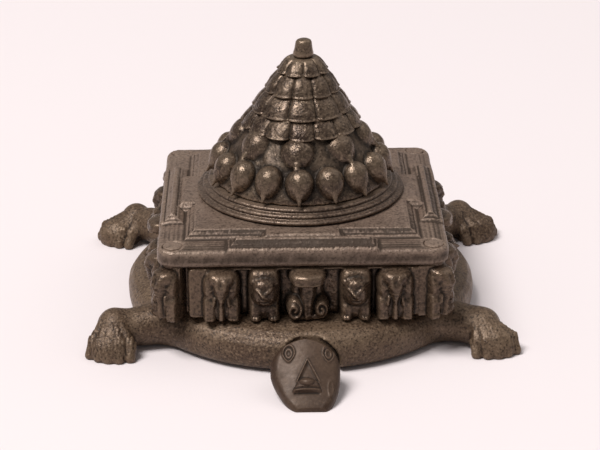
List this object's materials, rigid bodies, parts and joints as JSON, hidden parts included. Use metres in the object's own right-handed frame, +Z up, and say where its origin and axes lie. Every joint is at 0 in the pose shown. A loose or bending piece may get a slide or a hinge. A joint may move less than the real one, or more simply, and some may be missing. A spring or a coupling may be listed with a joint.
{
  "type": "shri yantra",
  "caption": "Cast bronze Meru shri yantra: a tortoise carries a square animal frieze, a gated square plate and a petalled cone.",
  "frame": {"origin": "on the surface that the paws stand on, under the middle of the object's bounding box", "axes": "+Z up, the tortoise's head towards -Y, +X to the right as seen from in front of the head"},
  "size_m": [0.1516, 0.158, 0.0961],
  "materials": {
    "body_bronze": "satin, dark brown patina",
    "frieze_bronze": "satin, dark brown patina",
    "plate_bronze": "satin, grey brown patina",
    "mount_bronze": "satin, rubbed brown patina",
    "fastener_brass": "dull, as cut"
  },
  "bodies": {
    "root": {"tortoise_shell": "body_bronze", "tortoise_head": "body_bronze", "frieze_panel_front": "frieze_bronze", "frieze_panel_right": "frieze_bronze", "frieze_panel_back": "frieze_bronze", "frieze_panel_left": "frieze_bronze", "corner_rivet_front": "plate_bronze", "corner_rivet_right": "plate_bronze", "corner_rivet_back": "plate_bronze", "corner_rivet_left": "plate_bronze", "top_plate": "plate_bronze", "ring_moulding": "mount_bronze", "meru_mount": "mount_bronze", "bindu_rod": "mount_bronze", "rod_washer": "fastener_brass", "rod_nut": "fastener_brass"}
  },
  "joints": []
}
